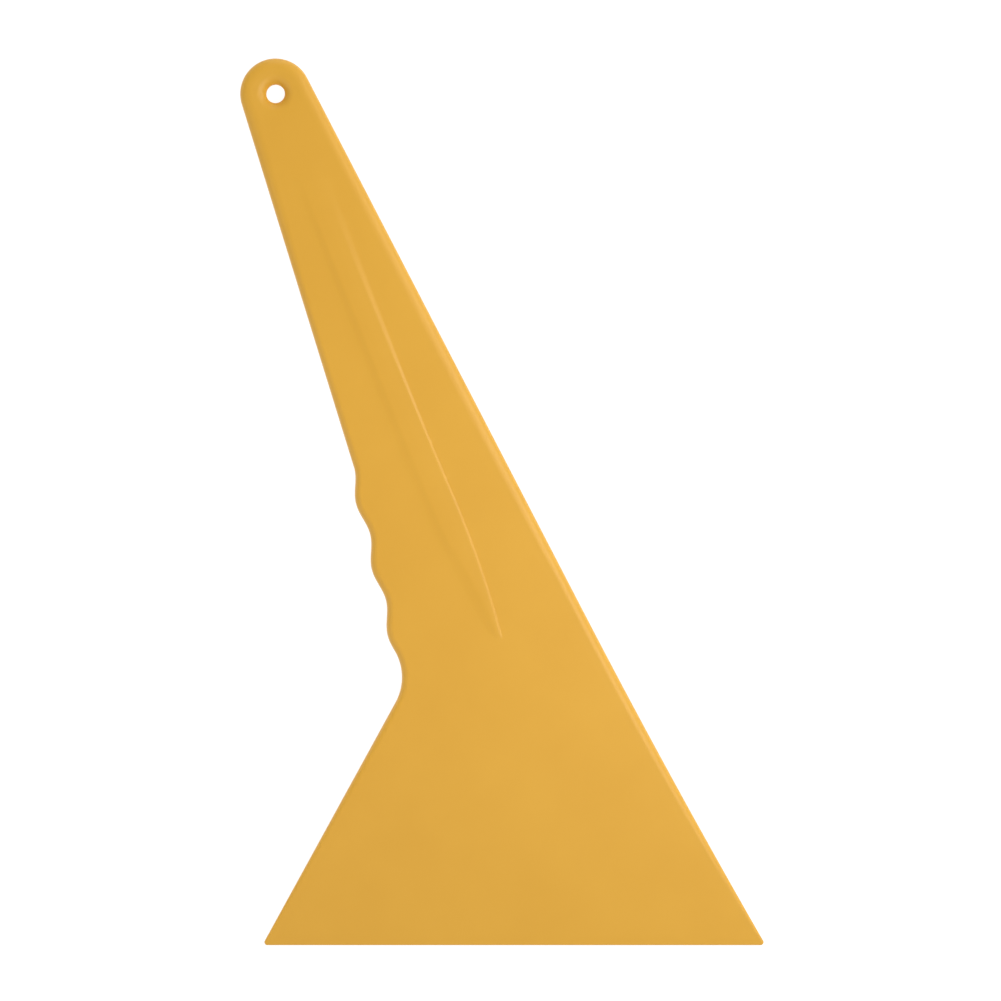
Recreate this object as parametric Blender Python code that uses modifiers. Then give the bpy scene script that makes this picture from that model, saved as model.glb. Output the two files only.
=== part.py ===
"""Long-handled squeegee applicator: one injection-moulded plastic piece, lying on its flat back.

The handle tapers up to a rounded tip with a hanging hole, a raised spine runs down its face, finger grips
are cut into its left edge, and the wide blade thins to a straight scraping edge.

+Y runs from the scraping edge to the tip and +Z out of the worked face. The origin is on the back, under
the middle of the plan's box. Inside the functions a plan point is measured from the middle of the
scraping edge instead, and the empty called squeegee_plan carries that point to its place.
"""

import math

import bmesh
import bpy
from mathutils import Vector

MM = 0.001

# Blade, in plan
BLADE_WIDTH = 168.0 * MM  # between its corners, before they are rounded
CORNER_RADIUS = 1.0 * MM
FLARE_INSET = 62.0 * MM  # from the right corner to where the right edge starts to flare
FLARE_HEIGHT = 113.6 * MM

# Handle, in plan
LENGTH = 295.75 * MM  # from the scraping edge to the end of the tip
TIP_RADIUS = 11.8 * MM
TIP_OFFSET = 79.5 * MM  # how far the tip stands to the left of the blade's middle

# Finger grips and the throat under them, in plan
GRIP_COUNT = 3
GRIP_PITCH = 22.6 * MM
GRIP_DEPTH = 2.2 * MM
GRIP_LEAN = math.radians(13.5)
THROAT_OFFSET = 37.4 * MM  # how far the throat stands to the left of the blade's middle
THROAT_HEIGHT = 93.0 * MM
THROAT_RADIUS = 17.3 * MM

# Section
BODY_THICKNESS = 5.0 * MM
EDGE_THICKNESS = 1.2 * MM  # at the scraping edge
TAPER_LENGTH = 90.0 * MM  # from the scraping edge to where the full thickness is reached
SIDE_ROUND = 3.0 * MM  # width of the round-over along the worked face
SIDE_ROUND_HEIGHT = 2.8 * MM
BACK_ROUND = 0.6 * MM
EDGE_ROUND = 0.25 * MM  # width of the round-over along the scraping edge
ROUND_SHARE = 0.6  # largest round-over, as a share of the thickness there
ROUND_RUN_OUT = 0.5  # how fast the round-over widens above the scraping edge

# Hanging hole in the tip, whose dish gets steeper from the face down to the bore
HOLE_RADIUS = 3.1 * MM
DISH_RADIUS = 5.7 * MM
DISH_RIM_TILT = math.radians(10)
DISH_BORE_TILT = math.radians(62)

# Spine: a raised leaf with one crisp side, on the handle's face
SPINE_WIDTH = 11.0 * MM
SPINE_STEP = 0.35 * MM  # height of its crisp side
SPINE_STEP_RUN = 0.85 * MM
SPINE_SWELL = 0.08 * MM  # how far its crown bulges over the crisp side
SPINE_SOFT_RUN = 3.6 * MM
SPINE_TOP = Vector((10.1, -19.0)) * MM  # upper end, from the tip's centre
SPINE_BEND = Vector((-20.2, 148.6)) * MM  # the straight run ends here
SPINE_END = Vector((-4.4, 102.2)) * MM
SPINE_POINT_LENGTH = 44.0 * MM  # over which the leaf closes to its point
SPINE_POINT_SHARE = 0.25  # what is left of its section at the point
SPINE_FADE_LENGTH = 110.0 * MM  # over which its upper end comes up out of the face
SPINE_SUNK = 0.6 * MM  # how deep the upper end lies under the face
SPINE_ROOT = 0.3 * MM  # how deep the leaf is rooted under its own foot
SPINE_TOE = 0.1 * MM  # how far its soft flank runs on under the face

# Fineness of the round shapes
TIP_STEPS = 26
CORNER_STEPS = 5
THROAT_STEPS = 9
FLARE_STEPS = 6
STEPS_PER_GRIP = 12
TAPER_STEPS = 12
TAPER_CROWDING = 1.5  # power that brings the steps closer together near the scraping edge
FACE_ROUND_STEPS = 6
BACK_ROUND_STEPS = 2
SPINE_STEPS = 22
CROWN_STEPS = 8
HOLE_STEPS = 40
DISH_STEPS = 6
FLAT_ANGLE = math.radians(1)
SHARP_ANGLE = math.radians(35)

PLASTIC_COLOR = (0.76, 0.41, 0.066, 1.0)
PLASTIC_ROUGHNESS = 0.42
CUTTER_OVERRUN = 2.0 * MM
WELD = 0.01 * MM


# Plan geometry


def polar(radius, angle):
    return Vector((radius * math.cos(angle), radius * math.sin(angle)))


def angle_of(vector):
    return math.atan2(vector.y, vector.x)


def arc(centre, radius, start, end, steps):
    """Points of a circle from one polar angle to another, both ends included."""
    return [centre + polar(radius, start + (end - start) * k / steps) for k in range(steps + 1)]


def arc_to(start, heading, end, steps):
    """Points of the circle that leaves start along heading and passes through end."""
    chord = end - start
    bend = angle_of(chord) - angle_of(heading)
    points = []
    for k in range(steps + 1):
        turned = bend * k / steps
        share = math.sin(turned) / math.sin(bend) if bend else k / steps
        points.append(start + polar(chord.length * share, angle_of(heading) + turned))
    return points


def tangent_angle(centre, radius, point, side):
    """Polar angle where a line from point touches the circle, on the side asked for (+1 or -1)."""
    reach = point - centre
    return angle_of(reach) + side * math.acos(radius / reach.length)


def rounded_corner(before, corner, after):
    """Arc that rounds a convex corner between the edges from before and to after."""
    to_before = (before - corner).normalized()
    to_after = (after - corner).normalized()
    half = to_before.angle(to_after) / 2
    centre = corner + (to_before + to_after).normalized() * (CORNER_RADIUS / math.sin(half))
    touch = corner + to_before * (CORNER_RADIUS / math.tan(half))
    start = angle_of(touch - centre)
    return arc(centre, CORNER_RADIUS, start, start + math.pi - 2 * half, CORNER_STEPS)


def tip_centre():
    return Vector((-TIP_OFFSET, LENGTH - TIP_RADIUS))


def right_edge(corner):
    """From the blade's right corner up the flare, and the polar angle where it meets the tip's circle."""
    flare = corner + Vector((-FLARE_INSET, FLARE_HEIGHT))
    touch = tangent_angle(tip_centre(), TIP_RADIUS, flare, 1)
    heading = flare - tip_centre() - polar(TIP_RADIUS, touch)
    down = arc_to(flare, heading, corner, FLARE_STEPS)
    return down[::-1], touch


def finger_grips():
    """The wave of the grips, down to the flank of the last one, and the heading there."""
    down = polar(1, GRIP_LEAN - math.pi / 2)
    out = polar(1, GRIP_LEAN - math.pi)
    foot = Vector((-THROAT_OFFSET, THROAT_HEIGHT))
    top = foot - down * (GRIP_COUNT * GRIP_PITCH)
    points = []
    # The last quarter of the wave belongs to the throat.
    for k in range(GRIP_COUNT * STEPS_PER_GRIP - STEPS_PER_GRIP // 4 + 1):
        turns = k / STEPS_PER_GRIP
        swell = GRIP_DEPTH / 2 * (1 - math.cos(2 * math.pi * turns))
        points.append(top + down * (turns * GRIP_PITCH) + out * swell)
    heading = down - out * (math.pi * GRIP_DEPTH / GRIP_PITCH)
    return points, heading.normalized()


def throat(start, heading, corner):
    """Hollow arc from the last grip round to the line that runs down to the blade's left corner."""
    centre = start + Vector((heading.y, -heading.x)) * THROAT_RADIUS
    first = angle_of(start - centre)
    last = tangent_angle(centre, THROAT_RADIUS, corner, 1)
    return arc(centre, THROAT_RADIUS, first, last, THROAT_STEPS)


def outline():
    """The moulding's plan as a closed loop of points, anticlockwise from the blade's left corner."""
    left = Vector((-BLADE_WIDTH / 2, 0))
    right = Vector((BLADE_WIDTH / 2, 0))
    up_right, touch = right_edge(right)
    grips, heading = finger_grips()
    hollow = throat(grips[-1], heading, left)
    leave = tangent_angle(tip_centre(), TIP_RADIUS, grips[0], -1) % (2 * math.pi)
    points = rounded_corner(hollow[-1], left, right)
    points += rounded_corner(left, right, up_right[1])
    points += up_right[1:]
    points += arc(tip_centre(), TIP_RADIUS, touch, leave, TIP_STEPS)
    points += grips
    points += hollow[1:]
    return points


# Section


def thickness(y):
    """Thickness of the moulding at a height y above the scraping edge."""
    left_to_go = 1 - min(max(y, 0) / TAPER_LENGTH, 1)
    return BODY_THICKNESS - (BODY_THICKNESS - EDGE_THICKNESS) * left_to_go**2


def round_width(y):
    """Width of the round-over along the worked face, at a height y above the scraping edge."""
    run_out = EDGE_ROUND + ROUND_RUN_OUT * max(y, 0)
    return min(SIDE_ROUND, ROUND_SHARE * thickness(y), run_out)


def rim_profile():
    """The rim at full thickness, back to face: (inset as a share of the round-over's width, height)."""
    round_height = min(SIDE_ROUND_HEIGHT, ROUND_SHARE * BODY_THICKNESS)
    profile = []
    for k in range(BACK_ROUND_STEPS + 1):
        turn = math.pi / 2 * k / BACK_ROUND_STEPS
        inset = BACK_ROUND * (1 - math.sin(turn))
        profile.append((inset / SIDE_ROUND, BACK_ROUND * (1 - math.cos(turn))))
    for k in range(FACE_ROUND_STEPS + 1):
        turn = math.pi / 2 * k / FACE_ROUND_STEPS
        drop = round_height * (1 - math.sin(turn))
        profile.append((1 - math.cos(turn), BODY_THICKNESS - drop))
    return profile


# Blender objects


def clear_scene():
    for obj in list(bpy.data.objects):
        bpy.data.objects.remove(obj, do_unlink=True)


def new_collection(name):
    collection = bpy.data.collections.new(name)
    bpy.context.scene.collection.children.link(collection)
    return collection


def plan_empty(points):
    """The empty at the middle of the scraping edge, with the plan's box centred on the origin."""
    low = Vector((min(p.x for p in points), min(p.y for p in points)))
    high = Vector((max(p.x for p in points), max(p.y for p in points)))
    empty = bpy.data.objects.new("squeegee_plan", None)
    empty.location = (-(low + high) / 2).to_3d()
    return empty


def closed_spline(curve, points):
    spline = curve.splines.new("POLY")
    spline.points.add(len(points) - 1)
    for spline_point, point in zip(spline.points, points):
        spline_point.co = (point.x, point.y, 0, 1)
    spline.use_cyclic_u = True


def mesh_from_curve(curve_obj, name):
    """Mesh of the curve as drawn, with its loose caps welded on. The curve itself is removed."""
    graph = bpy.context.evaluated_depsgraph_get()
    mesh = bpy.data.meshes.new_from_object(curve_obj.evaluated_get(graph))
    mesh.name = name
    bm = bmesh.new()
    bm.from_mesh(mesh)
    bmesh.ops.remove_doubles(bm, verts=bm.verts, dist=WELD)
    bmesh.ops.recalc_face_normals(bm, faces=bm.faces)
    bm.to_mesh(mesh)
    bm.free()
    bpy.data.objects.remove(curve_obj)
    return mesh


def flat_plan(points):
    """The outline filled as one flat face, seen from above."""
    curve = bpy.data.curves.new("plan_outline", "CURVE")
    curve.dimensions = "2D"
    curve.fill_mode = "BOTH"
    closed_spline(curve, points)
    curve_obj = bpy.data.objects.new("plan_outline", curve)
    bpy.context.scene.collection.objects.link(curve_obj)
    mesh = mesh_from_curve(curve_obj, "squeegee_body")
    bm = bmesh.new()
    bm.from_mesh(mesh)
    bmesh.ops.dissolve_limit(bm, angle_limit=FLAT_ANGLE, verts=[], edges=bm.edges)
    for face in bm.faces:
        if face.normal.z < 0:
            face.normal_flip()
    return bm, mesh


def cut_taper_stations(bm):
    """Lines across the blade where its thickness changes, closer together near the scraping edge."""
    for k in range(1, TAPER_STEPS + 1):
        height = TAPER_LENGTH * (k / TAPER_STEPS) ** TAPER_CROWDING
        geometry = bm.verts[:] + bm.edges[:] + bm.faces[:]
        bmesh.ops.bisect_plane(bm, geom=geometry, dist=WELD, plane_co=(0, height, 0), plane_no=(0, 1, 0))


def inward_mitres(bm):
    """For each point on the plan's outline, the step that moves both of its edges in by one unit."""
    sums = {}
    for edge in bm.edges:
        if not edge.is_boundary:
            continue
        loop = edge.link_loops[0]
        along = (loop.link_loop_next.vert.co - loop.vert.co).normalized()
        for vert in edge.verts:
            sums[vert] = sums.get(vert, Vector((0, 0, 0))) + Vector((-along.y, along.x, 0))
    return {vert: total * (2 / total.length_squared) for vert, total in sums.items()}


def raise_rim(bm):
    """Pulls the flat plan up through the rings of the rim, which leaves a closed plate."""
    mitre = bm.verts.layers.float_vector.new("mitre")
    foot = bm.verts.layers.float_vector.new("foot")
    for vert, step in inward_mitres(bm).items():
        vert[mitre] = step * round_width(vert.co.y)
    for vert in bm.verts:
        vert[foot] = vert.co
    profile = rim_profile()
    ring = set(bm.verts)
    cap = list(bm.faces)
    for level, (share, height) in enumerate(profile):
        if level:
            cap_edges = list({edge for face in cap for edge in face.edges})
            pulled = bmesh.ops.extrude_face_region(bm, geom=cap + cap_edges)["geom"]
            cap = [item for item in pulled if isinstance(item, bmesh.types.BMFace)]
            ring = {item for item in pulled if isinstance(item, bmesh.types.BMVert)}
        for vert in ring:
            vert.co = vert[foot] + vert[mitre] * share
            vert.co.z = height
    bmesh.ops.recalc_face_normals(bm, faces=bm.faces)


def thin_blade(bm):
    for vert in bm.verts:
        vert.co.z *= thickness(vert.co.y) / BODY_THICKNESS


def make_body(points):
    """The moulding without its spine and hole: a rounded plate that thins toward the scraping edge."""
    bm, mesh = flat_plan(points)
    cut_taper_stations(bm)
    raise_rim(bm)
    thin_blade(bm)
    bm.to_mesh(mesh)
    bm.free()
    return bpy.data.objects.new("squeegee_body", mesh)


def spine_section():
    """Section of the spine, x from its crisp side to its soft side and y up from the handle's face."""
    # Both flanks run straight on through the face to the foot.
    crisp_foot = -SPINE_STEP_RUN * (1 + SPINE_ROOT / SPINE_STEP)
    points = [Vector((crisp_foot, -SPINE_ROOT))]
    for k in range(CROWN_STEPS + 1):
        across = (SPINE_WIDTH - SPINE_SOFT_RUN) * k / CROWN_STEPS
        share = across / SPINE_WIDTH
        points.append(Vector((across, SPINE_STEP + 4 * SPINE_SWELL * share * (1 - share))))
    soft_foot = SPINE_WIDTH + SPINE_SOFT_RUN * SPINE_TOE / points[-1].y
    points.append(Vector((soft_foot, -SPINE_TOE)))
    points.append(Vector((soft_foot, -SPINE_ROOT)))
    return points[::-1]


def spine_path():
    """Points down the spine's crisp side, each with its depth under the face and its share of the width."""
    top = tip_centre() + SPINE_TOP
    run = SPINE_BEND - top
    straight = [top + run * (k / SPINE_STEPS) for k in range(SPINE_STEPS)]
    points = straight + arc_to(SPINE_BEND, run, SPINE_END, SPINE_STEPS)
    path = []
    for point in points:
        to_go = min((point - SPINE_END).length / SPINE_POINT_LENGTH, 1)
        come = min((point - top).length / SPINE_FADE_LENGTH, 1)
        share = SPINE_POINT_SHARE + (1 - SPINE_POINT_SHARE) * math.sqrt(to_go)
        path.append((point, SPINE_SUNK * (1 - come) ** 2, share))
    return path


def make_spine():
    """The leaf as a section swept down the spine, sunk at its upper end and closed to a point below."""
    section = bpy.data.curves.new("spine_section", "CURVE")
    section.dimensions = "2D"
    closed_spline(section, spine_section())
    section_obj = bpy.data.objects.new("spine_section", section)
    bpy.context.scene.collection.objects.link(section_obj)
    curve = bpy.data.curves.new("spine_path", "CURVE")
    curve.dimensions = "3D"
    curve.twist_mode = "Z_UP"
    curve.bevel_mode = "OBJECT"
    curve.bevel_object = section_obj
    curve.use_fill_caps = True
    path = spine_path()
    spline = curve.splines.new("POLY")
    spline.points.add(len(path) - 1)
    for spline_point, (point, depth, share) in zip(spline.points, path):
        spline_point.co = (point.x, point.y, thickness(point.y) - depth, 1)
        spline_point.radius = share
    curve_obj = bpy.data.objects.new("spine_path", curve)
    bpy.context.scene.collection.objects.link(curve_obj)
    mesh = mesh_from_curve(curve_obj, "spine")
    bpy.data.objects.remove(section_obj)
    return bpy.data.objects.new("spine", mesh)


def make_hole_cutter():
    """Turned cutter for the hanging hole: a straight bore that opens into a dish at the face."""
    rim = math.sin(DISH_RIM_TILT)
    bend = (DISH_RADIUS - HOLE_RADIUS) / (math.sin(DISH_BORE_TILT) - rim)
    profile = [Vector((0, 0, BODY_THICKNESS + CUTTER_OVERRUN))]
    profile.append(Vector((DISH_RADIUS, 0, BODY_THICKNESS + CUTTER_OVERRUN)))
    for k in range(DISH_STEPS + 1):
        tilt = DISH_RIM_TILT + (DISH_BORE_TILT - DISH_RIM_TILT) * k / DISH_STEPS
        x = DISH_RADIUS - bend * (math.sin(tilt) - rim)
        z = BODY_THICKNESS - bend * (math.cos(DISH_RIM_TILT) - math.cos(tilt))
        profile.append(Vector((x, 0, z)))
    profile.append(Vector((HOLE_RADIUS, 0, -CUTTER_OVERRUN)))
    profile.append(Vector((0, 0, -CUTTER_OVERRUN)))
    mesh = bpy.data.meshes.new("hole_cutter")
    edges = [(k, k + 1) for k in range(len(profile) - 1)]
    mesh.from_pydata(profile, edges, [])
    cutter = bpy.data.objects.new("hole_cutter", mesh)
    cutter.location = tip_centre().to_3d()
    screw = cutter.modifiers.new("Turn", "SCREW")
    screw.steps = HOLE_STEPS
    screw.render_steps = HOLE_STEPS
    screw.use_merge_vertices = True
    screw.merge_threshold = WELD
    return cutter


def add_boolean(body, operation, other):
    modifier = body.modifiers.new(operation.title(), "BOOLEAN")
    modifier.operation = operation
    modifier.object = other
    modifier.solver = "EXACT"


def hide_tool(obj):
    obj.hide_render = True
    obj.display_type = "WIRE"


def golden_plastic():
    material = bpy.data.materials.new("golden_plastic")
    material.use_nodes = True
    shader = material.node_tree.nodes["Principled BSDF"]
    shader.inputs["Base Color"].default_value = PLASTIC_COLOR
    shader.inputs["Roughness"].default_value = PLASTIC_ROUGHNESS
    shader.inputs["Metallic"].default_value = 0.0
    return material


def main():
    clear_scene()
    points = outline()
    model = new_collection("squeegee_applicator")
    tools = new_collection("cutters")
    plan = plan_empty(points)
    body = make_body(points)
    spine = make_spine()
    hole = make_hole_cutter()
    model.objects.link(plan)
    model.objects.link(body)
    body.data.materials.append(golden_plastic())
    for tool in (spine, hole):
        tools.objects.link(tool)
        hide_tool(tool)
    for obj in (body, spine, hole):
        obj.parent = plan
    add_boolean(body, "UNION", spine)
    add_boolean(body, "DIFFERENCE", hole)
    body.data.shade_smooth()
    body.data.set_sharp_from_angle(angle=SHARP_ANGLE)


main()
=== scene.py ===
"""Looks of the squeegee applicator: one smooth golden moulding, lying on a pale studio floor."""

import math

import bmesh
import bpy
import numpy as np
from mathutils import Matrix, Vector
from mathutils.geometry import delaunay_2d_cdt


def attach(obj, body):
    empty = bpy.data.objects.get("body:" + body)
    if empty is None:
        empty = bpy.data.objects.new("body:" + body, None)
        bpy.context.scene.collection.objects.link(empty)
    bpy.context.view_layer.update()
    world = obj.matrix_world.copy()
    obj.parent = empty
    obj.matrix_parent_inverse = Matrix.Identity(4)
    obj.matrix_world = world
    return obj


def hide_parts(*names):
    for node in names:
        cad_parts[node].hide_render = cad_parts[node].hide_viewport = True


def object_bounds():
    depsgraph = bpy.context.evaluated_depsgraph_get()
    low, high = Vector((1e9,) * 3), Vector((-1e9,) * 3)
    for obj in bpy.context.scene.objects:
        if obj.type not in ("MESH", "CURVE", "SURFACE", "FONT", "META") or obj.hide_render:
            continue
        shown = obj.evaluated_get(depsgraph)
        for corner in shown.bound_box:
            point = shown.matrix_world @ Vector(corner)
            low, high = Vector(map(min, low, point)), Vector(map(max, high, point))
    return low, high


MM = 0.001

# Plan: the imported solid's own sizes, measured from the middle of the scraping edge
BLADE_WIDTH = 168.0 * MM
CORNER_RADIUS = 1.0 * MM
FLARE_INSET = 62.0 * MM
FLARE_HEIGHT = 113.6 * MM
LENGTH = 295.75 * MM
TIP_RADIUS = 11.8 * MM
TIP_OFFSET = 79.5 * MM
GRIP_COUNT = 3
GRIP_PITCH = 22.6 * MM
GRIP_DEPTH = 2.2 * MM
GRIP_LEAN = math.radians(13.5)
THROAT_OFFSET = 37.4 * MM
THROAT_HEIGHT = 93.0 * MM
THROAT_RADIUS = 17.3 * MM

# Section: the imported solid's own sizes, except for the round-over further down
BODY_THICKNESS = 5.0 * MM
EDGE_THICKNESS = 1.2 * MM
TAPER_LENGTH = 90.0 * MM
SIDE_ROUND = 3.0 * MM
SIDE_ROUND_HEIGHT = 2.8 * MM
BACK_ROUND = 0.6 * MM
EDGE_ROUND = 0.25 * MM
ROUND_SHARE = 0.6
ROUND_RUN_OUT = 0.5

# The round-over is narrower on the left, and up the handle it gets wider and starts more gently
LEFT_SHARE = 0.78
SHOULDER_WIDTH = 5.0 * MM
SHOULDER_RIGHT = (110.0 * MM, 200.0 * MM)
SHOULDER_LEFT = (205.0 * MM, 275.0 * MM)

# Hanging hole: its dish is an arc that gets steeper from the face down to the bore
HOLE_RADIUS = 3.1 * MM
HOLE_BACK_ROUND = 0.3 * MM  # bevel of its lower rim
DISH_RADIUS = 6.3 * MM
DISH_RIM_TILT = math.radians(1)
DISH_BORE_TILT = math.radians(62)
BOWL_RADIUS = 9.6 * MM  # of a shallow bowl round the dish
BOWL_FLOOR_RADIUS = 4.8 * MM
BOWL_DEPTH = 0.26 * MM

# Spine
SPINE_WIDTH = 10.6 * MM
SPINE_TOP_SHARE = 0.7  # width at its upper end, as a share
SPINE_STEP = 0.35 * MM
SPINE_STEP_RUN = 0.75 * MM
SPINE_SOFT_STEP_RUN = 5.0 * MM  # at its upper end, where the step is still soft
SPINE_SWELL = 0.08 * MM
SPINE_SOFT_RUN = 3.8 * MM
SPINE_RISE_LENGTH = 50.0 * MM
SPINE_MELT_LENGTH = 36.0 * MM  # over which its soft side melts away at the lower end
SPINE_TOP = Vector((10.1, -19.0)) * MM
SPINE_BEND = Vector((-20.2, 148.6)) * MM
SPINE_END = Vector((-4.4, 102.2)) * MM
SPINE_POINT_LENGTH = 44.0 * MM  # over which its lower end comes to a point
SPINE_POINT_POWER = 0.4
SPINE_POINT_WIDTH = 1.2 * MM
SPINE_END_RUN = 3.0 * MM  # over which its height ends
SPINE_FADE_LENGTH = 110.0 * MM  # over which its upper end gets narrower and softer
SPINE_FADE_POWER = 1.5

# Fineness
EDGE_STEP = 1.2 * MM
FACE_STEP = 2.0 * MM
SPINE_ALONG = 1.2 * MM
SPINE_BEND_STEPS = 60
SPINE_STEP_SHARES = (-1.25, -1.0, -0.86, -0.72, -0.58, -0.44, -0.3, -0.15, 0.0)  # of the step's run
SPINE_WIDTH_SHARES = (  # of the leaf's width
    0.03, 0.07, 0.14, 0.23, 0.34, 0.45, 0.54, 0.62,
    0.69, 0.76, 0.83, 0.9, 0.96, 1.0, 1.08,
)
GRID_ROW_SHARE = 0.866  # row distance of an even triangular grid, in steps
EDGE_CLEARANCE = 0.8 * FACE_STEP
DISH_CLEARANCE = 1.6 * MM
DISH_FIRST_RING = 0.12 * MM
DISH_RING_STEP = 0.22 * MM
DISH_RING_MARGIN = 0.9 * MM
CORNER_STEPS = 10
TIP_STEPS = 110
THROAT_STEPS = 36
STEPS_PER_GRIP = 36
FLARE_STEPS = 50
BACK_ROUND_STEPS = 4
SIDE_STEPS = 2
FACE_ROUND_STEPS = 18
HOLE_STEPS = 96
WELD = 1e-9  # closer points become one

# Plastic: colours and gloss each vary a little over the surface
GOLD_DEEP = (0.758, 0.389, 0.030, 1.0)
GOLD_PALE = (0.780, 0.407, 0.034, 1.0)
GLOSS_RANGE = (0.36, 0.44)
PLASTIC_IOR = 1.49
CLOUD_SCALE = 38.0
GRAIN_SCALE = 900.0
GRAIN_HEIGHT = 0.03 * MM
WAVE_SCALE = 22.0
WAVE_HEIGHT = 0.2 * MM

# Floor: partly lit from itself, so that it stays white and almost without a shadow
FLOOR_GREY = (0.22, 0.22, 0.22, 1.0)
FLOOR_GLOW = 0.92
FLOOR_SIZE = 4.0
FLOOR_GAP = 0.2 * MM
WHITE = (1.0, 1.0, 1.0, 1.0)

# World: how bright the sky is low down and overhead, and the band at the horizon, and where each changes
SKY_LOW = 0.44
SKY_TOP = 0.48
SKY_HEIGHTS = (0.1, 0.4)
HORIZON = 1.1
HORIZON_HEIGHTS = (0.05, 0.12)

# Area lights: name, azimuth and zenith angle in degrees, distance, size, power, aim
LIGHTS = (
    ("key", 30, 50, 0.9, 0.5, 1.30, (0, 0, 0)),
    ("key_low", 30, 68, 0.9, 0.5, 0.3, (0, 0, 0)),
    ("key_near", 20, 30, 0.4, 0.3, 0.57, (0.03, -0.02, 0)),
    ("right_high", 330, 28, 0.7, 0.4, 0.38, (0, 0, 0)),
    ("front_high", 240, 28, 0.7, 0.4, 0.19, (0, 0, 0)),
    ("left", 200, 50, 0.9, 0.5, 0.78, (0, 0, 0)),
    ("rear_low", 90, 70, 0.9, 0.5, 0.85, (0, 0, 0)),
)

# Camera
LENS = 200.0
SENSOR_WIDTH = 36.0
VIEW_WIDTH = 0.33367  # what the picture spans at half the body's thickness
VIEW_SHIFT = 0.5 * MM  # to the left and up, off the middle of the object
CLIP_END = 20.0


# Plan geometry


def polar(radius, angle):
    return Vector((radius * math.cos(angle), radius * math.sin(angle)))


def angle_of(vector):
    return math.atan2(vector.y, vector.x)


def arc(centre, radius, start, end, steps):
    return [centre + polar(radius, start + (end - start) * k / steps) for k in range(steps + 1)]


def arc_to(start, heading, end, steps):
    """Points of the circle that leaves start along heading and passes through end."""
    chord = end - start
    bend = angle_of(chord) - angle_of(heading)
    points = []
    for k in range(steps + 1):
        turned = bend * k / steps
        share = math.sin(turned) / math.sin(bend) if bend else k / steps
        points.append(start + polar(chord.length * share, angle_of(heading) + turned))
    return points


def tangent_angle(centre, radius, point, side):
    reach = point - centre
    return angle_of(reach) + side * math.acos(radius / reach.length)


def rounded_corner(before, corner, after):
    to_before = (before - corner).normalized()
    to_after = (after - corner).normalized()
    half = to_before.angle(to_after) / 2
    centre = corner + (to_before + to_after).normalized() * (CORNER_RADIUS / math.sin(half))
    touch = corner + to_before * (CORNER_RADIUS / math.tan(half))
    start = angle_of(touch - centre)
    return arc(centre, CORNER_RADIUS, start, start + math.pi - 2 * half, CORNER_STEPS)


def tip_centre():
    return Vector((-TIP_OFFSET, LENGTH - TIP_RADIUS))


def right_edge(corner):
    flare = corner + Vector((-FLARE_INSET, FLARE_HEIGHT))
    touch = tangent_angle(tip_centre(), TIP_RADIUS, flare, 1)
    heading = flare - tip_centre() - polar(TIP_RADIUS, touch)
    return arc_to(flare, heading, corner, FLARE_STEPS)[::-1], touch


def finger_grips():
    down = polar(1, GRIP_LEAN - math.pi / 2)
    out = polar(1, GRIP_LEAN - math.pi)
    foot = Vector((-THROAT_OFFSET, THROAT_HEIGHT))
    top = foot - down * (GRIP_COUNT * GRIP_PITCH)
    points = []
    for k in range(GRIP_COUNT * STEPS_PER_GRIP - STEPS_PER_GRIP // 4 + 1):
        turns = k / STEPS_PER_GRIP
        swell = GRIP_DEPTH / 2 * (1 - math.cos(2 * math.pi * turns))
        points.append(top + down * (turns * GRIP_PITCH) + out * swell)
    heading = down - out * (math.pi * GRIP_DEPTH / GRIP_PITCH)
    return points, heading.normalized()


def throat(start, heading, corner):
    centre = start + Vector((heading.y, -heading.x)) * THROAT_RADIUS
    first = angle_of(start - centre)
    last = tangent_angle(centre, THROAT_RADIUS, corner, 1)
    return arc(centre, THROAT_RADIUS, first, last, THROAT_STEPS)


def outline():
    """The plan as a closed loop, anticlockwise from the blade's left corner, in short steps."""
    left = Vector((-BLADE_WIDTH / 2, 0))
    right = Vector((BLADE_WIDTH / 2, 0))
    up_right, touch = right_edge(right)
    grips, heading = finger_grips()
    hollow = throat(grips[-1], heading, left)
    leave = tangent_angle(tip_centre(), TIP_RADIUS, grips[0], -1) % (2 * math.pi)
    points = rounded_corner(hollow[-1], left, right)
    points += rounded_corner(left, right, up_right[1])
    points += up_right[1:]
    points += arc(tip_centre(), TIP_RADIUS, touch, leave, TIP_STEPS)
    points += grips
    points += hollow[1:]
    fine = []
    for a, b in zip(points, points[1:] + points[:1]):
        pieces = max(1, math.ceil((b - a).length / EDGE_STEP))
        fine += [a + (b - a) * (k / pieces) for k in range(pieces)]
    return fine


# Section


def thickness(y):
    left_to_go = 1 - min(max(y, 0) / TAPER_LENGTH, 1)
    return BODY_THICKNESS - (BODY_THICKNESS - EDGE_THICKNESS) * left_to_go**2


def smooth(share):
    share = min(max(share, 0), 1)
    return share * share * (3 - 2 * share)


def left_facing(out):
    return smooth(-2 * out.x / out.length)


def shoulder(point, out):
    """How soft the round-over is, from 0 to 1, at a point of the outline that faces along out."""
    right, left = (smooth((point.y - a) / (b - a)) for a, b in (SHOULDER_RIGHT, SHOULDER_LEFT))
    return right + (left - right) * left_facing(out)


def round_width(y):
    run_out = EDGE_ROUND + ROUND_RUN_OUT * max(y, 0)
    return min(SIDE_ROUND, ROUND_SHARE * thickness(y), run_out)


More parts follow.
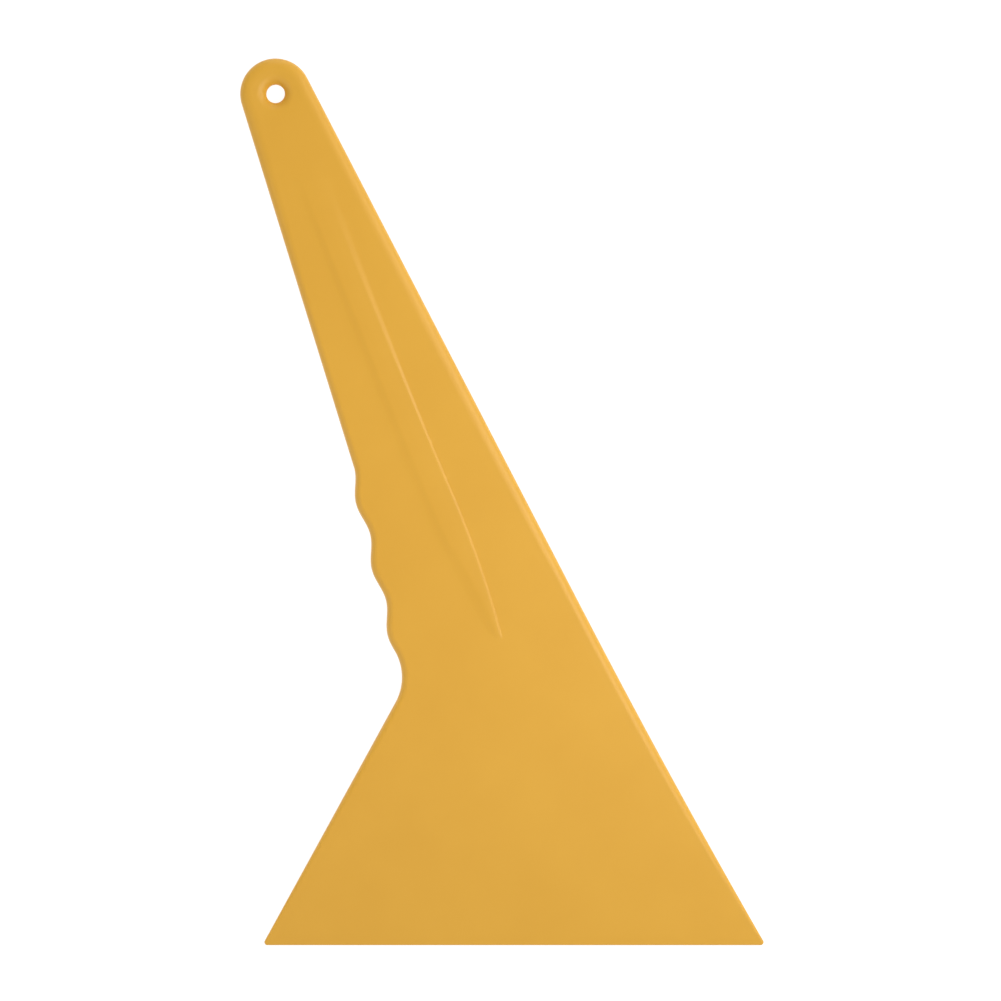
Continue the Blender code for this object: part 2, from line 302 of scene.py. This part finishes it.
def rim_profile(softness):
    """The rim at full thickness, back to face: (inset as a share of the round-over's width, height)."""
    profile = []
    for k in range(BACK_ROUND_STEPS + 1):
        turn = math.pi / 2 * k / BACK_ROUND_STEPS
        inset = BACK_ROUND * (1 - math.sin(turn))
        profile.append((inset / SIDE_ROUND, BACK_ROUND * (1 - math.cos(turn))))
    low = BACK_ROUND
    high = BODY_THICKNESS - SIDE_ROUND_HEIGHT
    for k in range(1, SIDE_STEPS):
        profile.append((0, low + (high - low) * k / SIDE_STEPS))
    for k in range(FACE_ROUND_STEPS + 1):
        turn = math.pi / 2 * k / FACE_ROUND_STEPS
        drop = SIDE_ROUND_HEIGHT * (1 - math.sqrt(max(1 - math.cos(turn) ** (2 + softness), 0)))
        profile.append((1 - math.cos(turn), BODY_THICKNESS - drop))
    return profile


def bowl_drop(radius):
    return BOWL_DEPTH * smooth((BOWL_RADIUS - radius) / (BOWL_RADIUS - BOWL_FLOOR_RADIUS))


def dish_drop(radius):
    """How far the face drops round the hanging hole, at a distance from its axis."""
    first = math.sin(DISH_RIM_TILT)
    bend = (DISH_RADIUS - HOLE_RADIUS) / (math.sin(DISH_BORE_TILT) - first)
    tilt = math.asin(first + max(DISH_RADIUS - radius, 0) / bend)
    return bend * (math.cos(DISH_RIM_TILT) - math.cos(tilt)) + bowl_drop(radius)


def spine_line():
    """Points down the spine's crisp side, evenly spaced, with the run from the top and the run to go."""
    top = tip_centre() + SPINE_TOP
    run = SPINE_BEND - top
    coarse = [top] + arc_to(SPINE_BEND, run, SPINE_END, SPINE_BEND_STEPS)
    lengths = [0.0]
    for a, b in zip(coarse, coarse[1:]):
        lengths.append(lengths[-1] + (b - a).length)
    count = math.ceil(lengths[-1] / SPINE_ALONG)
    points = []
    k = 0
    for n in range(count + 1):
        reach = lengths[-1] * n / count
        while k < len(coarse) - 2 and lengths[k + 1] < reach:
            k += 1
        share = (reach - lengths[k]) / (lengths[k + 1] - lengths[k])
        heading = (coarse[k + 1] - coarse[k]).normalized()
        points.append((coarse[k].lerp(coarse[k + 1], share), heading, reach, lengths[-1] - reach))
    return points


def spine_rise(across, width, run, soft):
    """Height of the leaf over the face, at a distance from its crisp side toward its soft side."""
    if across <= 0:
        return SPINE_STEP * smooth(1 + across / run)
    crown = SPINE_STEP + 4 * SPINE_SWELL * (across / width) * (1 - across / width)
    return crown * smooth((width - across) / soft)


def spine_points():
    """Points of the leaf, in rows across it: (plan point, height over the face)."""
    rows = []
    for point, heading, come, to_go in spine_line():
        right = Vector((-heading.y, heading.x))
        size = min(to_go / SPINE_POINT_LENGTH, 1) ** SPINE_POINT_POWER
        size *= SPINE_TOP_SHARE + (1 - SPINE_TOP_SHARE) * min(come / SPINE_FADE_LENGTH, 1)
        strength = 1 - (1 - min(come / SPINE_RISE_LENGTH, 1)) ** 2
        strength *= min(to_go / SPINE_END_RUN, 1)
        width = max(SPINE_WIDTH * size, SPINE_POINT_WIDTH)
        softness = (1 - min(come / SPINE_FADE_LENGTH, 1)) ** SPINE_FADE_POWER
        run = SPINE_STEP_RUN + (SPINE_SOFT_STEP_RUN - SPINE_STEP_RUN) * softness
        soft = SPINE_SOFT_RUN * width / SPINE_WIDTH
        soft += (width - soft) * (1 - min(to_go / SPINE_MELT_LENGTH, 1))
        places = [share * run for share in SPINE_STEP_SHARES]
        places += [share * width for share in SPINE_WIDTH_SHARES]
        row = []
        for across in places:
            row.append((point - right * across, strength * spine_rise(across, width, run, soft)))
        rows.append(row)
    return rows


# Mesh


def inside(points, loop):
    """Which of the points (an array) lie inside the closed loop (an array)."""
    found = np.zeros(len(points), bool)
    x, y = points[:, 0], points[:, 1]
    for (ax, ay), (bx, by) in zip(loop, np.roll(loop, -1, axis=0)):
        if ay == by:
            continue
        crosses = (ay > y) != (by > y)
        found ^= crosses & (x < ax + (y - ay) * (bx - ax) / (by - ay))
    return found


def mitres(points):
    """For each point of the loop, the step that moves both of its edges in by one unit."""
    steps = []
    for before, point, after in zip(points[-1:] + points[:-1], points, points[1:] + points[:1]):
        total = Vector((0, 0))
        for along in (point - before, after - point):
            along = along.normalized()
            total += Vector((-along.y, along.x))
        steps.append(total * (2 / total.length_squared))
    return steps


def rim_rings(points):
    """The rim as closed rings of points, from the back up to where the flat of the face starts."""
    columns = []
    for point, move in zip(points, mitres(points)):
        softness = shoulder(point, -move)
        width = round_width(point.y) * (1 - (1 - LEFT_SHARE) * left_facing(-move))
        width += (SHOULDER_WIDTH - width) * softness
        column = []
        for share, height in rim_profile(softness):
            place = point + move * (share * width)
            height *= thickness(place.y) / BODY_THICKNESS
            height -= bowl_drop((place - tip_centre()).length)
            column.append(Vector((place.x, place.y, height)))
        columns.append(column)
    return [list(ring) for ring in zip(*columns)]


def face_points(loop):
    """Inner points of the face with their heights: the leaf, the dish and an even grid elsewhere."""
    centre = tip_centre()
    rows = spine_points()
    kept = []
    heights = []
    for row in rows:
        for point, rise in row:
            kept.append(point)
            heights.append(thickness(point.y) + rise - bowl_drop((point - centre).length))
    radius = HOLE_RADIUS + DISH_FIRST_RING
    while radius < DISH_RADIUS + DISH_RING_MARGIN:
        for k in range(HOLE_STEPS):
            stagger = 0.5 * (len(kept) // HOLE_STEPS % 2)
            kept.append(centre + polar(radius, 2 * math.pi * (k + stagger) / HOLE_STEPS))
            heights.append(BODY_THICKNESS - dish_drop(radius))
        radius += DISH_RING_STEP
    within = inside(np.array([(p.x, p.y) for p in kept]), loop)
    heights = [height for height, fits in zip(heights, within) if fits]
    kept = [point for point, fits in zip(kept, within) if fits]
    line = np.array([point for point, _, _, _ in spine_line()])
    low = loop.min(axis=0)
    high = loop.max(axis=0)
    grid = []
    for j in range(int((high[1] - low[1]) / (FACE_STEP * GRID_ROW_SHARE)) + 1):
        for i in range(int((high[0] - low[0]) / FACE_STEP) + 1):
            x = low[0] + (i + 0.5 * (j % 2)) * FACE_STEP
            grid.append((x, low[1] + j * FACE_STEP * GRID_ROW_SHARE))
    grid = np.array(grid)
    grid = grid[inside(grid, loop)]
    near_edge = np.min(np.linalg.norm(grid[:, None, :] - loop[None, ::2, :], axis=2), axis=1)
    to_tip = np.linalg.norm(grid - np.array(centre), axis=1)
    leaf = np.array([row[0][0] for row in rows] + [row[-1][0] for row in rows[::-1]])
    clear = (near_edge > EDGE_CLEARANCE) & (to_tip > DISH_RADIUS + DISH_CLEARANCE) & ~inside(grid, leaf)
    to_line = np.min(np.linalg.norm(grid[:, None, :] - line[None, :, :], axis=2), axis=1)
    clear &= to_line > SPINE_STEP_RUN
    for x, y in grid[clear]:
        kept.append(Vector((x, y)))
        heights.append(thickness(y) - bowl_drop((kept[-1] - centre).length))
    return kept, heights


def triangulated(points, loops):
    """Triangles over the points, kept where they lie inside the first loop and outside the others."""
    edges = []
    start = 0
    for loop in loops:
        edges += [(start + k, start + (k + 1) % len(loop)) for k in range(len(loop))]
        start += len(loop)
    verts, _, faces, sources, _, _ = delaunay_2d_cdt(points, edges, [], 0, WELD)
    flat = np.array([(v.x, v.y) for v in verts])
    faces = np.array(faces)
    middles = flat[faces].mean(axis=1)
    keep = inside(middles, np.array([(p.x, p.y) for p in loops[0]]))
    for loop in loops[1:]:
        keep &= ~inside(middles, np.array([(p.x, p.y) for p in loop]))
    return [tuple(int(sources[k][0]) for k in face) for face in faces[keep]]


def make_moulding(offset):
    """The whole moulding as one closed smooth mesh, moved by offset from plan to world."""
    points = outline()
    rings = rim_rings(points)
    inner = [Vector((p.x, p.y)) for p in rings[-1]]
    centre = tip_centre()
    hole = [centre + polar(HOLE_RADIUS, 2 * math.pi * k / HOLE_STEPS) for k in range(HOLE_STEPS)]
    loop = np.array([(p.x, p.y) for p in inner])
    extra, heights = face_points(loop)
    bm = bmesh.new()

    lip = BODY_THICKNESS - dish_drop(HOLE_RADIUS)
    verts = [[bm.verts.new(p) for p in ring] for ring in rings]
    top_hole = [bm.verts.new((p.x, p.y, lip)) for p in hole]
    mid_hole = [bm.verts.new((p.x, p.y, HOLE_BACK_ROUND)) for p in hole]
    spread = 1 + HOLE_BACK_ROUND / HOLE_RADIUS
    back_hole = [bm.verts.new(((p - centre) * spread + centre).to_3d()) for p in hole]
    for below, above in zip(verts, verts[1:]):
        for k in range(len(below)):
            n = (k + 1) % len(below)
            bm.faces.new((below[k], below[n], above[n], above[k])).smooth = True
    for upper, lower in ((top_hole, mid_hole), (mid_hole, back_hole)):
        for k in range(HOLE_STEPS):
            n = (k + 1) % HOLE_STEPS
            bm.faces.new((upper[k], upper[n], lower[n], lower[k])).smooth = True

    cap = verts[-1] + top_hole + [bm.verts.new((p.x, p.y, z)) for p, z in zip(extra, heights)]
    for a, b, c in triangulated(inner + hole + extra, (inner, hole)):
        bm.faces.new((cap[a], cap[b], cap[c])).smooth = True
    foot = [Vector((v.co.x, v.co.y)) for v in verts[0]]
    back_loop = [Vector((v.co.x, v.co.y)) for v in back_hole]
    back = verts[0] + back_hole
    for a, b, c in triangulated(foot + back_loop, (foot, back_loop)):
        bm.faces.new((back[c], back[b], back[a])).smooth = False
    bmesh.ops.translate(bm, verts=bm.verts, vec=offset.to_3d())
    bmesh.ops.recalc_face_normals(bm, faces=bm.faces)
    open_edges = sum(not edge.is_manifold for edge in bm.edges)
    print("moulding:", len(bm.verts), "points,", len(bm.faces), "faces,", open_edges, "open edges")
    mesh = bpy.data.meshes.new("moulding")
    bm.to_mesh(mesh)
    bm.free()
    moulding = bpy.data.objects.new("moulding", mesh)
    bpy.context.scene.collection.objects.link(moulding)
    return moulding


# Materials


def node(tree, kind, inputs=(), **settings):
    made = tree.nodes.new(kind)
    for name, value in settings.items():
        setattr(made, name, value)
    for name, value in dict(inputs).items():
        if isinstance(value, bpy.types.NodeSocket):
            tree.links.new(value, made.inputs[name])
        else:
            made.inputs[name].default_value = value
    return made


def ranged(tree, value, low, high, source=(0.3, 0.7)):
    made = node(tree, "ShaderNodeMapRange", {"Value": value, "From Min": source[0], "From Max": source[1]})
    made.inputs["To Min"].default_value = low
    made.inputs["To Max"].default_value = high
    return made.outputs["Result"]


def golden_plastic():
    material = bpy.data.materials.new("golden_plastic")
    material.use_nodes = True
    tree = material.node_tree
    shader = tree.nodes["Principled BSDF"]
    place = node(tree, "ShaderNodeTexCoord").outputs["Object"]
    cloud = node(
        tree, "ShaderNodeTexNoise", {"Vector": place, "Scale": CLOUD_SCALE, "Detail": 3.0, "Roughness": 0.55}
    )
    grain = node(
        tree, "ShaderNodeTexNoise", {"Vector": place, "Scale": GRAIN_SCALE, "Detail": 3.0, "Roughness": 0.6}
    )
    wave = node(tree, "ShaderNodeTexNoise", {"Vector": place, "Scale": WAVE_SCALE, "Detail": 1.0})
    share = ranged(tree, cloud.outputs["Fac"], 0.0, 1.0)
    mix = node(tree, "ShaderNodeMix", {"Factor": share}, data_type="RGBA")
    mix.inputs["A"].default_value = GOLD_DEEP
    mix.inputs["B"].default_value = GOLD_PALE
    tree.links.new(mix.outputs["Result"], shader.inputs["Base Color"])
    rough = ranged(tree, grain.outputs["Fac"], *GLOSS_RANGE)
    tree.links.new(rough, shader.inputs["Roughness"])
    fine = node(
        tree, "ShaderNodeBump", {"Height": grain.outputs["Fac"], "Strength": 0.12, "Distance": GRAIN_HEIGHT}
    )
    broad = node(
        tree, "ShaderNodeBump", {"Height": wave.outputs["Fac"], "Strength": 0.3, "Distance": WAVE_HEIGHT}
    )
    tree.links.new(broad.outputs["Normal"], fine.inputs["Normal"])
    tree.links.new(fine.outputs["Normal"], shader.inputs["Normal"])
    shader.inputs["IOR"].default_value = PLASTIC_IOR
    return material


def floor_material():
    material = bpy.data.materials.new("studio_floor")
    material.use_nodes = True
    shader = material.node_tree.nodes["Principled BSDF"]
    shader.inputs["Base Color"].default_value = FLOOR_GREY
    shader.inputs["Roughness"].default_value = 0.9
    shader.inputs["Specular IOR Level"].default_value = 0.0
    shader.inputs["Emission Color"].default_value = WHITE
    shader.inputs["Emission Strength"].default_value = FLOOR_GLOW
    return material


# Studio


def make_floor():
    mesh = bpy.data.meshes.new("studio_floor")
    bm = bmesh.new()
    bmesh.ops.create_grid(bm, x_segments=1, y_segments=1, size=FLOOR_SIZE)
    bm.to_mesh(mesh)
    bm.free()
    floor = bpy.data.objects.new("studio_floor", mesh)
    floor.location = (0, 0, -FLOOR_GAP)
    bpy.context.scene.collection.objects.link(floor)
    floor.data.materials.append(floor_material())
    return floor


def soft_box(name, azimuth, zenith, reach, size, power, aim):
    """An area light at a distance from its aim, in a direction given in degrees, turned to face it."""
    data = bpy.data.lights.new(name, "AREA")
    data.shape = "SQUARE"
    data.size = size
    data.energy = power
    light = bpy.data.objects.new(name, data)
    a = math.radians(azimuth)
    z = math.radians(zenith)
    way = Vector((math.sin(z) * math.cos(a), math.sin(z) * math.sin(a), math.cos(z)))
    light.location = Vector(aim) + way * reach
    light.rotation_euler = way.to_track_quat("Z", "Y").to_euler()
    bpy.context.scene.collection.objects.link(light)


def studio_world():
    """White surroundings: a bright band at the horizon, and a much dimmer sky from there up."""
    world = bpy.data.worlds.new("studio")
    world.use_nodes = True
    tree = world.node_tree
    way = node(tree, "ShaderNodeTexCoord").outputs["Generated"]
    height = node(tree, "ShaderNodeSeparateXYZ", {"Vector": way}).outputs["Z"]
    sky = ranged(tree, height, SKY_LOW, SKY_TOP, SKY_HEIGHTS)
    band = ranged(tree, height, HORIZON - SKY_LOW, 0.0, HORIZON_HEIGHTS)
    strength = node(tree, "ShaderNodeMath", operation="ADD")
    tree.links.new(sky, strength.inputs[0])
    tree.links.new(band, strength.inputs[1])
    tree.links.new(strength.outputs["Value"], tree.nodes["Background"].inputs["Strength"])
    tree.nodes["Background"].inputs["Color"].default_value = WHITE
    bpy.context.scene.world = world


def make_camera(low, high):
    """Looking straight down on the object, with the handle's tip up."""
    data = bpy.data.cameras.new("camera")
    data.lens = LENS
    data.sensor_width = SENSOR_WIDTH
    camera = bpy.data.objects.new("camera", data)
    middle = (low + high) / 2
    height = BODY_THICKNESS / 2 + VIEW_WIDTH * LENS / SENSOR_WIDTH
    camera.location = (middle.x - VIEW_SHIFT, middle.y + VIEW_SHIFT, height)
    camera.rotation_euler = (0, 0, 0)
    data.clip_end = CLIP_END
    bpy.context.scene.collection.objects.link(camera)
    bpy.context.scene.camera = camera


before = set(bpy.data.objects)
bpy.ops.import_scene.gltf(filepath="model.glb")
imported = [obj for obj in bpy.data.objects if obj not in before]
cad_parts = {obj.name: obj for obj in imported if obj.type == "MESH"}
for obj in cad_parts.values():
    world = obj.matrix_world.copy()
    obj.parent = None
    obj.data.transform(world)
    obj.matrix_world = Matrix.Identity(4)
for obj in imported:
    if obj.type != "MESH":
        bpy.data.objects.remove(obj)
cad_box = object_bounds()
low, high = Vector(cad_box[0]), Vector(cad_box[1])

make_camera(low, high)
plan = outline()
plan_low = Vector((min(p.x for p in plan), min(p.y for p in plan)))
plan_high = Vector((max(p.x for p in plan), max(p.y for p in plan)))
offset = Vector(((low.x + high.x) / 2, (low.y + high.y) / 2)) - (plan_low + plan_high) / 2
moulding = make_moulding(offset)
moulding.data.materials.append(golden_plastic())
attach(moulding, "root")
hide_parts("squeegee_body")
make_floor()

studio_world()
for light in LIGHTS:
    soft_box(*light)
bpy.context.scene.view_settings.view_transform = "Standard"
